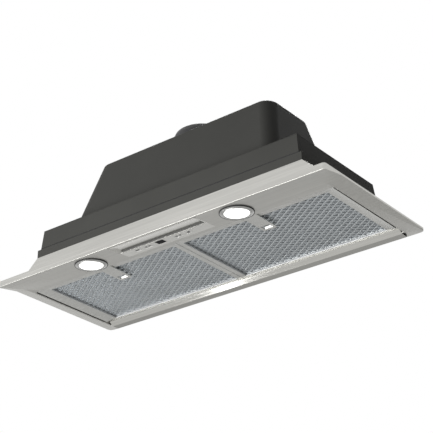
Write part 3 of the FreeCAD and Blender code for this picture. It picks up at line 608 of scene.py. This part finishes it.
class HoodSizes(bpy.types.PropertyGroup):
    lip_radius: bpy.props.FloatProperty(
        name="Lip radius", description="Rounding of the canopy's front edge",
        default=0.8 * MM, unit="LENGTH")
    ridge_radius: bpy.props.FloatProperty(
        name="Ridge radius", description="Rounding of the ridges around the filters",
        default=1.6 * MM, unit="LENGTH")
    sheet_edge: bpy.props.FloatProperty(
        name="Sheet edge", description="Rounding of the cut sheet edges",
        default=0.25 * MM, unit="LENGTH")
    housing_corner: bpy.props.FloatProperty(
        name="Housing corner", description="Radius of the upper housing's corners",
        default=25.0 * MM, unit="LENGTH")
    roof_edge: bpy.props.FloatProperty(
        name="Roof edge", description="Rounding along the upper housing's roof",
        default=4.0 * MM, unit="LENGTH")
    mesh_width: bpy.props.FloatProperty(
        name="Mesh cell width", description="Long way of a diamond in the filter mesh",
        default=18.5 * MM, unit="LENGTH")
    mesh_depth: bpy.props.FloatProperty(
        name="Mesh cell depth", description="Short way of a diamond in the filter mesh",
        default=12.3 * MM, unit="LENGTH")
    strand: bpy.props.FloatProperty(
        name="Mesh strand", description="Width of a strand of the filter mesh",
        default=2.9 * MM, unit="LENGTH")
    hem_crest: bpy.props.FloatProperty(
        name="Hem crest", description="Rounding of the hem's crest behind the filters",
        default=0.9 * MM, unit="LENGTH")


class HoodStage(bpy.types.PropertyGroup):
    floor_level: bpy.props.FloatProperty(
        name="Floor level", description="Height of the floor below the hood", default=-2.7, unit="LENGTH")
    floor_colour: bpy.props.FloatVectorProperty(
        name="Floor", description="Colour of the pale floor", subtype="COLOR", default=(0.8, 0.8, 0.79))
    floor_glow: bpy.props.FloatProperty(
        name="Floor glow", description="Paleness of the floor where the camera or a mirror sees it",
        default=0.85, min=0.0)
    key_power: bpy.props.FloatProperty(
        name="Key light", description="Power of the soft light in front", default=65.0, unit="POWER")
    top_power: bpy.props.FloatProperty(
        name="Top light", description="Power of the soft light above", default=195.0, unit="POWER")
    streak_power: bpy.props.FloatProperty(
        name="Streak light", description="Power of the small light below the left end",
        default=0.4, unit="POWER")
    fill_power: bpy.props.FloatProperty(
        name="Fill light", description="Power of the broad light below the left end",
        default=0.8, unit="POWER")
    ambient: bpy.props.FloatProperty(
        name="Ambient", description="Strength of the even light from all around", default=0.07, min=0.0)


# Pieces

class HOOD_OT_canopy(bpy.types.Operator):
    """Steel canopy frame with rounded lip and ridges, its collar, and the hem behind the filters"""
    bl_idname = "hood.canopy"
    bl_label = "Canopy"

    def execute(self, context):
        sizes = context.scene.hood_sizes

        def on_lip(co):
            return near(co.z, LIP_LEVEL, 0.12 * MM) and co.y < RIM_LOW.y + 0.6 * MM

        def on_opening(co):
            beside = near(abs(co.x), RIDGE_HALF) or near(co.y, PANEL_BACK) or near(co.y, RIDGE_BACK)
            return beside and RIDGE_LOWEST < co.z < RIDGE_HIGHEST and abs(co.x) < RIDGE_HALF + 0.2 * MM

        rounds = ((both(on_lip), sizes.lip_radius, 4), (both(on_opening), sizes.ridge_radius, 4))
        fit(soften("fascia_frame", sizes.sheet_edge, rounds), "hood", "steel", "fascia_frame")
        fit(soften("collar", sizes.sheet_edge), "hood", "steel", "collar")
        fit(self.hem(sizes), "hood", "steel", look="hem")
        return {"FINISHED"}

    def hem(self, sizes):
        """A folded sheet: a slope that faces the filters, a soft crest, a flat foot and its return."""
        half = RIDGE_HALF - HEM_END_GAP
        corners = [Vector((0, y * MM, z * MM)) for y, z in HEM_PROFILE]
        slope = corners[1] - corners[0]
        hem = begin(bpy.ops.mesh.primitive_plane_add, "back_hem", size=1.0)
        take_all()
        bpy.ops.transform.resize(value=(2 * half, slope.length, 1))
        leave_edit()
        settle(hem, (corners[0] + corners[1]) / 2, math.atan2(slope.z, slope.y))
        edit(hem)
        for corner, following in zip(corners[1:], corners[2:]):
            pick(hem, "edges", both(lambda co: near(co.y, corner.y) and near(co.z, corner.z)))
            draw_edges(following - corner)
        pick(hem, "edges", both(lambda co: near(co.y, corners[1].y)))
        bevel_edges(sizes.hem_crest, steps=6)
        face_out()
        leave_edit()
        thicken(hem, HEM_SHEET)
        round_edges(hem, width=0.2 * MM, angle=60)
        smooth_evenly(hem, angle=30)
        return hem


class HOOD_OT_housings(bpy.types.Operator):
    """Dark band, lower housing with a dark skin of painted shadow at its foot, and upper housing with its
    screws
    """
    bl_idname = "hood.housings"
    bl_label = "Housings"

    def execute(self, context):
        fit(soften("base_band", width=0.5 * MM), "hood", "housing", "base_band")
        lower = soften("lower_housing", width=0.5 * MM)
        fit(lower, "hood", "housing", "lower_housing")
        # The dark skin at the lower housing's foot is painted shadow
        fit(self.seal(lower), "hood", "rubber", look="seam")
        upper = self.upper_shell(context.scene.hood_sizes)
        fit(upper, "hood", "housing", "upper_housing", "upper_roof")
        fit(self.screws(), "hood", "fastener", "upper_screws")
        return {"FINISHED"}

    def seal(self, lower):
        """A thin dark skin round the lower housing's foot, between the band and the housing: painted shadow
        for the joint there.
        """
        foot = LOWER_LOW.z + SEAM_SHADOW_FOOT
        top = BAND_HIGH.z + (LOWER_LOW.y - BAND_LOW.y) * SEAM_SHADOW_SLOPE + SEAM_SHADOW_TOP
        seal = copy_of(lower, "housing_seal")
        edit(seal)
        for level, up in ((foot, -1), (top, 1)):
            take_all()
            bpy.ops.mesh.bisect(plane_co=(0, 0, level), plane_no=(0, 0, up), clear_outer=True, use_fill=True)
        take_all()
        bpy.ops.transform.shrink_fatten(value=SEAM_SHADOW_SKIN)
        leave_edit()
        return seal

    def upper_shell(self, sizes):
        """A tapered sheet box with round corners, a foot flange and a hole for the outlet."""
        foot, roof = UPPER_LOW.z, ROOF_HIGH.z
        wide = (UPPER_HIGH.x - UPPER_LOW.x) - 2 * FLANGE
        deep = (UPPER_HIGH.y - UPPER_LOW.y) - 2 * FLANGE
        middle = (UPPER_HIGH.y + UPPER_LOW.y) / 2
        shell = begin(bpy.ops.mesh.primitive_cube_add, "upper_housing_shell", size=1.0,
                      location=(0, middle, (foot + roof) / 2), scale=(wide, deep, roof - foot))
        narrowing = ((ROOF_HIGH.x - ROOF_LOW.x) / wide, (ROOF_HIGH.y - ROOF_LOW.y) / deep, 1)
        pick(shell, "faces", lambda f: f.normal.z > 0.9)
        bpy.ops.transform.resize(value=narrowing, center_override=(0, middle, roof))
        bpy.ops.transform.translate(value=(0, (ROOF_LOW.y + ROOF_HIGH.y) / 2 - middle, 0))
        pick(shell, "faces", lambda f: f.normal.z < -0.9)
        bpy.ops.mesh.delete(type="FACE")
        pick(shell, "edges", lambda e: abs(e.verts[0].co.z - e.verts[1].co.z) > 10.0 * MM)
        bevel_edges(sizes.housing_corner, steps=12)
        pick(shell, "edges", both(lambda co: near(co.z, roof)))
        bevel_edges(sizes.roof_edge, steps=5)
        pick(shell, "edges", both(lambda co: near(co.z, foot)))
        draw_edges((0, 0, 0))
        widening = (1 + 2 * FLANGE / wide, 1 + 2 * FLANGE / deep, 1)
        bpy.ops.transform.resize(value=widening, center_override=(0, middle, foot))
        face_out()
        leave_edit()
        thicken(shell, HOUSING_SHEET)
        centre = (OUTLET_LOW.y + OUTLET_HIGH.y) / 2
        cutter = begin(bpy.ops.mesh.primitive_cylinder_add, "outlet_cutter", vertices=96, radius=OUTLET_HOLE,
                       depth=CUTTER_HEIGHT, location=(0, centre, roof))
        leave_edit()
        cut_away(shell, cutter)
        smooth_evenly(shell, angle=40)
        return shell

    def screws(self):
        """Pan-head screws with a cross recess around the upper housing's flange."""
        head = lathe("screw_head", SCREW_PROFILE, steps=24)
        for turn in (0, math.pi / 2):
            recess = begin(bpy.ops.mesh.primitive_cube_add, "cross_recess", size=1.0,
                           location=(0, 0, RECESS_LEVEL), rotation=(0, 0, turn), scale=RECESS_SIZE)
            leave_edit()
            cut_away(head, recess)
        heads = []
        for low, high in places_of("upper_screws", SCREW_REACH):
            twin = copy_of(head, "screw")
            settle(twin, ((low.x + high.x) / 2, (low.y + high.y) / 2, high.z - SCREW_HEIGHT))
            heads.append(twin)
        bpy.data.objects.remove(head)
        screws = join(heads, "upper_screws_finished")
        smooth(screws, angle=40)
        return screws


class HOOD_OT_outlet(bpy.types.Operator):
    """Round outlet collar with its two flaps"""
    bl_idname = "hood.outlet"
    bl_label = "Outlet"

    def execute(self, context):
        ring = lathe("outlet_ring", OUTLET_PROFILE, steps=120)
        settle(ring, (0, (OUTLET_LOW.y + OUTLET_HIGH.y) / 2, OUTLET_LOW.z))
        smooth(ring, angle=50)
        fit(ring, "hood", "black_plastic", "outlet_collar")
        for node in ("flap_front", "flap_back"):
            fit(soften(node, width=0.25 * MM), node, "black_plastic", node)
        return {"FINISHED"}


class HOOD_OT_filters(bpy.types.Operator):
    """Grease filters: soft-edged frames with layers of expanded metal and a folded edge round them, darkened
    as painted shade
    """
    bl_idname = "hood.filters"
    bl_label = "Filters"

    def execute(self, context):
        sizes = context.scene.hood_sizes
        cell = (sizes.mesh_width, sizes.mesh_depth)
        half_cell = (sizes.mesh_width / 2, sizes.mesh_depth / 2)
        for side in SIDES:
            body = "filter_" + side
            surround = "filter_frame_" + side
            fit(soften(surround, width=0.2 * MM), body, "aluminium", surround)
            low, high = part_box("filter_mesh_" + side)
            outer = self.expanded_sheet("outer", low, high, cell, sizes.strand, OUTER_LAYER)
            inner = self.expanded_sheet("inner", low, high, half_cell, sizes.strand / 2, INNER_LAYER)
            sheet = join([outer, inner], "expanded_mesh_" + side)
            fit(sheet, body, "mesh", "filter_mesh_" + side)
            # The folded edge takes a darker finish as painted shade
            fit(self.fold(side, low, high), body, "aluminium", look="fold")
        return {"FINISHED"}

    def fold(self, side, low, high):
        """The frame's sheet folded round the edge of the mesh, as a thin lining of the window; its finish is
        darker than the frame's, as painted shade at the window's edge.
        """
        middle = (low + high) / 2
        edge = begin(bpy.ops.mesh.primitive_plane_add, "mesh_edge_" + side, size=1.0,
                     location=(middle.x, middle.y, low.z))
        take_all()
        bpy.ops.transform.resize(value=(high.x - low.x - FOLD_PLAY, high.y - low.y - FOLD_PLAY, 1),
                                 center_override=middle)
        draw_faces((0, 0, FOLD_FACE - low.z))
        pick(edge, "faces", lambda f: abs(f.normal.z) > 0.9)
        bpy.ops.mesh.delete(type="FACE")
        face_out()
        leave_edit()
        thicken(edge, FOLD_SHEET)
        round_edges(edge, width=0.1 * MM, angle=30)
        smooth(edge)
        return edge

    def expanded_sheet(self, name, low, high, cell, strand, height):
        """A diamond of slanted strands, repeated over the filter's window and cut to it."""
        wide, deep = cell
        columns = math.ceil((high.x - low.x) / wide) + 1
        rows = math.ceil((high.y - low.y) / deep) + 1
        sheet = begin(bpy.ops.mesh.primitive_circle_add, name, vertices=4, radius=1.0, fill_type="NGON")
        take_all()
        bpy.ops.transform.resize(value=(wide / 2, deep / 2, 1))
        bpy.ops.mesh.select_mode(type="FACE")
        take_all()
        bpy.ops.mesh.inset(thickness=strand / 2, depth=0.0)
        bpy.ops.mesh.delete(type="FACE")
        for side in (-1, 1):
            pick(sheet, "verts", lambda v: near(v.co.x, 0) and 0.1 * deep < side * v.co.y < 0.45 * deep)
            bpy.ops.transform.translate(value=(0, 0, -side * strand * STRAND_SLANT))
        take_all()
        bpy.ops.mesh.duplicate_move(TRANSFORM_OT_translate={"value": (wide / 2, deep / 2, 0)})
        leave_edit()
        settle(sheet, (low.x, low.y, low.z + height))
        for offset, count in (((wide, 0, 0), columns), ((0, deep, 0), rows)):
            apply_modifier(sheet, "ARRAY", count=count, use_relative_offset=False, use_constant_offset=True,
                           constant_offset_displace=offset)
        edit(sheet)
        take_all()
        bpy.ops.mesh.remove_doubles(threshold=0.01 * MM)
        for corner, way in ((low, -1), (high, 1)):
            for normal in ((way, 0, 0), (0, way, 0)):
                take_all()
                bpy.ops.mesh.bisect(plane_co=corner, plane_no=normal, clear_outer=True)
        leave_edit()
        thicken(sheet, MESH_SHEET, offset=0.0)
        return sheet


class HOOD_OT_latches(bpy.types.Operator):
    """Sliding filter latches with soft edges and a rounded tip"""
    bl_idname = "hood.latches"
    bl_label = "Latches"

    def execute(self, context):
        for node in ("latch_left", "latch_right"):
            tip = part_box(node)[1].y

            def on_tip_corner(edge):
                first, last = edge.verts
                return near(first.co.y, tip) and near(last.co.y, tip) and near(first.co.x, last.co.x)

            latch = soften(node, width=0.3 * MM, rounds=((on_tip_corner, LATCH_CORNER, 6),))
            fit(latch, node, "latch", node)
        return {"FINISHED"}


class HOOD_OT_lamps(bpy.types.Operator):
    """Lamp rings, lit frosted lenses and black rubber gaskets whose black also paints the shadow gap round
    each ring, each turned from a profile
    """
    bl_idname = "hood.lamps"
    bl_label = "Lamps"

    def execute(self, context):
        shapes = (
            (RING_PROFILE, "lamp_ring_", "lamp_steel", True),
            (LENS_PROFILE, "lamp_lens_", "lens", True),
            # The black gasket also paints the shadow gap round the ring
            (SHADOW_GASKET_PROFILE, "lamp_gasket_", "rubber", False),
        )
        for profile, kind, slot, packed in shapes:
            turned = lathe("turned", profile, steps=112)
            for side in SIDES:
                low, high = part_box("lamp_ring_" + side)
                twin = copy_of(turned, kind + side + "_finished")
                on_panel(twin, (low.x + high.x) / 2, PANEL_BACK - LAMP_SETBACK)
                smooth(twin, angle=40)
                nodes = [kind + side] if packed else []
                fit(twin, "hood", slot, *nodes)
            bpy.data.objects.remove(turned)
        return {"FINISHED"}


class HOOD_OT_controls(bpy.types.Operator):
    """Finger trough, control strip, display and marked keys"""
    bl_idname = "hood.controls"
    bl_label = "Controls"

    def execute(self, context):
        middle = (TROUGH_LOW.x + TROUGH_HIGH.x) / 2
        # The trough's lighter steel is painted light
        fit(self.trough(middle), "hood", "steel", "control_trough", look="trough")
        # The trough's dark wall is painted shade
        fit(self.trough_wall(middle), "hood", "black_plastic", look="slot")
        fit(self.strip(), "hood", "strip", "control_strip")
        fit(soften("display_window", width=0.25 * MM), "hood", "display", "display_window")
        for node in KEY_MARKS:
            fit(soften(node, width=0.1 * MM), node, "strip", node)
            fit(self.mark(node), node, "black_plastic", look="ink")
        return {"FINISHED"}

    def strip(self):
        """The strip with its front edge set back, so that the trough runs under it."""
        strip = soften("control_strip", width=0.0)
        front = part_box("control_strip")[0].y
        edit(strip)
        pick(strip, "verts", lambda v: v.co.y < front + 1.0 * MM)
        bpy.ops.transform.translate(value=(0, STRIP_SETBACK, STRIP_SETBACK * PANEL_RISE / PANEL_DEPTH))
        leave_edit()
        round_edges(strip, width=0.3 * MM, angle=40)
        smooth_evenly(strip)
        return strip

    def mark(self, node):
        """Plain printed marks on a key, each a flat shape with three, four or many corners."""
        shapes = []
        for corners, wide, deep, across in KEY_MARKS[node]:
            turn, spread = (math.pi / 4, math.sqrt(2)) if corners == 4 else (0, 1.0)
            shape = begin(bpy.ops.mesh.primitive_circle_add, "mark", vertices=corners, radius=0.5,
                          fill_type="NGON", rotation=(0, 0, turn))
            take_all()
            bpy.ops.transform.resize(value=(wide * MM * spread, deep * MM * spread, 1),
                                     center_override=(0, 0, 0))
            bpy.ops.transform.translate(value=(across * MM, 0, -MARK_PROUD))
            draw_faces((0, 0, MARK_HEIGHT))
            face_out()
            leave_edit()
            shapes.append(shape)
        mark = join(shapes, node + "_mark")
        low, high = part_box(node)
        y = (low.y + high.y) / 2
        proud = max(panel_level(v.co.y) - v.co.z for v in frame["nodes"][node].data.vertices)
        settle(mark, ((low.x + high.x) / 2, y, panel_level(y) - proud), PANEL_TILT)
        return mark

    def trough(self, x):
        """A rounded tray that deepens towards the strip."""
        tray = begin(bpy.ops.mesh.primitive_plane_add, "finger_trough", size=1.0)
        bpy.ops.mesh.select_mode(type="VERT")
        take_all()
        bpy.ops.transform.resize(value=(TROUGH_WIDTH, TROUGH_DEPTH, 1))
        bpy.ops.mesh.bevel(offset=TROUGH_CORNER, segments=6, affect="VERTICES")
        bpy.ops.mesh.select_mode(type="FACE")
        take_all()
        bpy.ops.mesh.inset(thickness=TROUGH_EDGE, depth=0.0)
        half = (TROUGH_WIDTH / 2 - TROUGH_EDGE, TROUGH_DEPTH / 2 - TROUGH_EDGE)
        middle = height = 0.0
        for end, front, back, level in [[value * MM for value in step] for step in TROUGH_STEPS]:
            reach = (TROUGH_WIDTH / 2 - end, (back - front) / 2)
            draw_faces((0, (front + back) / 2 - middle, level - height))
            middle, height = (front + back) / 2, level
            bpy.ops.transform.resize(value=(reach[0] / half[0], reach[1] / half[1], 1),
                                     center_override=(0, middle, level))
            half = reach
        take_all()
        bpy.ops.mesh.flip_normals()
        leave_edit()
        thicken(tray, TROUGH_SHEET)
        on_panel(tray, x, TROUGH_MIDDLE)
        smooth(tray, angle=25)
        return tray

    def trough_wall(self, x):
        """A dark wall at the trough's deep end, under the strip, that paints the shade at the back of the
        trough.
        """
        wall = begin(bpy.ops.mesh.primitive_cube_add, "trough_wall", size=1.0, scale=SHADE_WALL_SIZE)
        take_all()
        bevel_edges(radius=0.2 * MM, steps=2)
        leave_edit()
        settle(wall, SHADE_WALL_PLACE)
        on_panel(wall, x, TROUGH_MIDDLE)
        return wall


class HOOD_OT_inner_works(bpy.types.Operator):
    """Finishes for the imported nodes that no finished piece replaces"""
    bl_idname = "hood.inner_works"
    bl_label = "Inner works"

    def execute(self, context):
        slots = {part["node"]: part["material_slot"] for part in frame["record"]["subparts"]}
        for name, node in frame["nodes"].items():
            if node.hide_render:
                continue
            # The filter cores take a dark finish as painted shade inside the mesh layers
            look = "core" if name.startswith("filter_core") else slots[name]
            node.data.materials.clear()
            node.data.materials.append(finish_of(look))
        return {"FINISHED"}


class HOOD_OT_stage(bpy.types.Operator):
    """Pale floor, soft lights, white surroundings and the photo's camera"""
    bl_idname = "hood.stage"
    bl_label = "Stage"

    def execute(self, context):
        stage = context.scene.hood_stage
        behind_filters = (0, RIDGE_BACK, 0)
        self.floor(stage)
        self.surroundings(context, stage)
        self.light("key_light", place=(-0.6, -1.7, -0.9), target=(0, 0, 0.05),
                   power=stage.key_power, size=(2.2, 1.6))
        self.light("top_light", place=(-1.2, 2.3, 2.8), target=(-0.3, 0.4, 0),
                   power=stage.top_power, size=(2.2, 2.2))
        self.light("streak_light", place=(-0.728, 0.133, -1.0), target=behind_filters,
                   power=stage.streak_power, size=(0.4, 0.045))
        self.light("fill_light", place=(-0.75, 0.2, -1.15), target=behind_filters,
                   power=stage.fill_power, size=(0.6, 1.6))
        self.camera(context)
        context.scene.view_settings.view_transform = "Standard"
        return {"FINISHED"}

    def floor(self, stage):
        """A matt floor that also shows its pale colour by itself where the camera or a mirror sees it."""
        floor = begin(bpy.ops.mesh.primitive_plane_add, "floor", size=FLOOR_WIDTH,
                      location=(0, 0, stage.floor_level))
        leave_edit()
        look = Finish("floor_paint", stage.floor_colour, 0.9)
        look.put("Specular IOR Level", 0.0)
        look.shade(look.noise(1.5), dark=0.985, light=1.0)
        pale = look.nodes.new("ShaderNodeEmission")
        pale.inputs["Color"].default_value = (*stage.floor_colour, 1)
        pale.inputs["Strength"].default_value = stage.floor_glow
        share = look.nodes.new("ShaderNodeMath")
        share.operation = "MULTIPLY"
        share.inputs[1].default_value = PALE_SHARE
        mix = look.nodes.new("ShaderNodeMixShader")
        look.links.new(self.seen(look.nodes, look.links), share.inputs[0])
        look.links.new(share.outputs["Value"], mix.inputs["Fac"])
        look.links.new(look.shader.outputs["BSDF"], mix.inputs[1])
        look.links.new(pale.outputs["Emission"], mix.inputs[2])
        look.links.new(mix.outputs["Shader"], look.nodes["Material Output"].inputs["Surface"])
        floor.data.materials.append(look.material)

    def seen(self, nodes, links):
        """One for rays that show a thing to the camera, straight, mirrored or through glass, or nought."""
        path = nodes.new("ShaderNodeLightPath")
        largest = path.outputs["Is Camera Ray"]
        for kind in ("Is Glossy Ray", "Is Transmission Ray"):
            larger = nodes.new("ShaderNodeMath")
            larger.operation = "MAXIMUM"
            links.new(largest, larger.inputs[0])
            links.new(path.outputs[kind], larger.inputs[1])
            largest = larger.outputs["Value"]
        return largest

    def surroundings(self, context, stage):
        """White where the camera or a mirror sees it, and otherwise a faint even light."""
        world = bpy.data.worlds.new("white_room")
        context.scene.world = world
        world.use_nodes = True
        nodes, links = world.node_tree.nodes, world.node_tree.links
        nodes.clear()
        mix = nodes.new("ShaderNodeMixShader")
        out = nodes.new("ShaderNodeOutputWorld")
        links.new(self.seen(nodes, links), mix.inputs["Fac"])
        for socket, strength in ((1, stage.ambient), (2, 1.0)):
            white = nodes.new("ShaderNodeBackground")
            white.inputs["Color"].default_value = (1, 1, 1, 1)
            white.inputs["Strength"].default_value = strength
            links.new(white.outputs["Background"], mix.inputs[socket])
        links.new(mix.outputs["Shader"], out.inputs["Surface"])

    def light(self, name, place, target, power, size):
        """An area light at a place, aimed at a target."""
        clear_selection()
        aim = Vector(target) - Vector(place)
        turn = aim.to_track_quat("-Z", "Y").to_euler()
        bpy.ops.object.light_add(type="AREA", location=place, rotation=turn)
        lamp = bpy.context.active_object
        lamp.name = name
        lamp.data.shape = "RECTANGLE"
        lamp.data.size, lamp.data.size_y = size
        lamp.data.energy = power

    def camera(self, context):
        clear_selection()
        bpy.ops.object.camera_add(location=CAMERA_PLACE, rotation=CAMERA_TURN)
        view = bpy.context.active_object
        view.name = "photo_camera"
        view.data.lens = CAMERA_LENS
        view.data.sensor_width = CAMERA_SENSOR
        view.data.clip_start, view.data.clip_end = CAMERA_REACH
        context.scene.camera = view


class HOOD_PT_panel(bpy.types.Panel):
    """The hood's pieces and the values behind them"""
    bl_idname = "HOOD_PT_panel"
    bl_label = "Range hood"
    bl_space_type = "VIEW_3D"
    bl_region_type = "UI"
    bl_category = "Hood"

    def draw(self, context):
        column = self.layout.column(align=True)
        for operator in PIECES:
            column.operator(operator.bl_idname)
        for group in GROUPS:
            values = getattr(context.scene, group)
            box = self.layout.box()
            for name in values.__annotations__:
                box.prop(values, name)


GROUPS = {"hood_finishes": HoodFinishes, "hood_sizes": HoodSizes, "hood_stage": HoodStage}
PIECES = (HOOD_OT_canopy, HOOD_OT_housings, HOOD_OT_outlet, HOOD_OT_filters, HOOD_OT_latches, HOOD_OT_lamps,
          HOOD_OT_controls, HOOD_OT_inner_works, HOOD_OT_stage)


def register():
    for name, group in GROUPS.items():
        bpy.utils.register_class(group)
        setattr(bpy.types.Scene, name, bpy.props.PointerProperty(type=group))
    for operator in PIECES:
        bpy.utils.register_class(operator)
    bpy.utils.register_class(HOOD_PT_panel)


def unregister():
    bpy.utils.unregister_class(HOOD_PT_panel)
    for operator in reversed(PIECES):
        bpy.utils.unregister_class(operator)
    for name, group in GROUPS.items():
        delattr(bpy.types.Scene, name)
        bpy.utils.unregister_class(group)


def main():
    register()
    bpy.ops.hood.canopy()
    bpy.ops.hood.housings()
    bpy.ops.hood.outlet()
    bpy.ops.hood.filters()
    bpy.ops.hood.latches()
    bpy.ops.hood.lamps()
    bpy.ops.hood.controls()
    bpy.ops.hood.inner_works()
    bpy.ops.hood.stage()
    clear_selection()


if __name__ == "__main__":
    main()
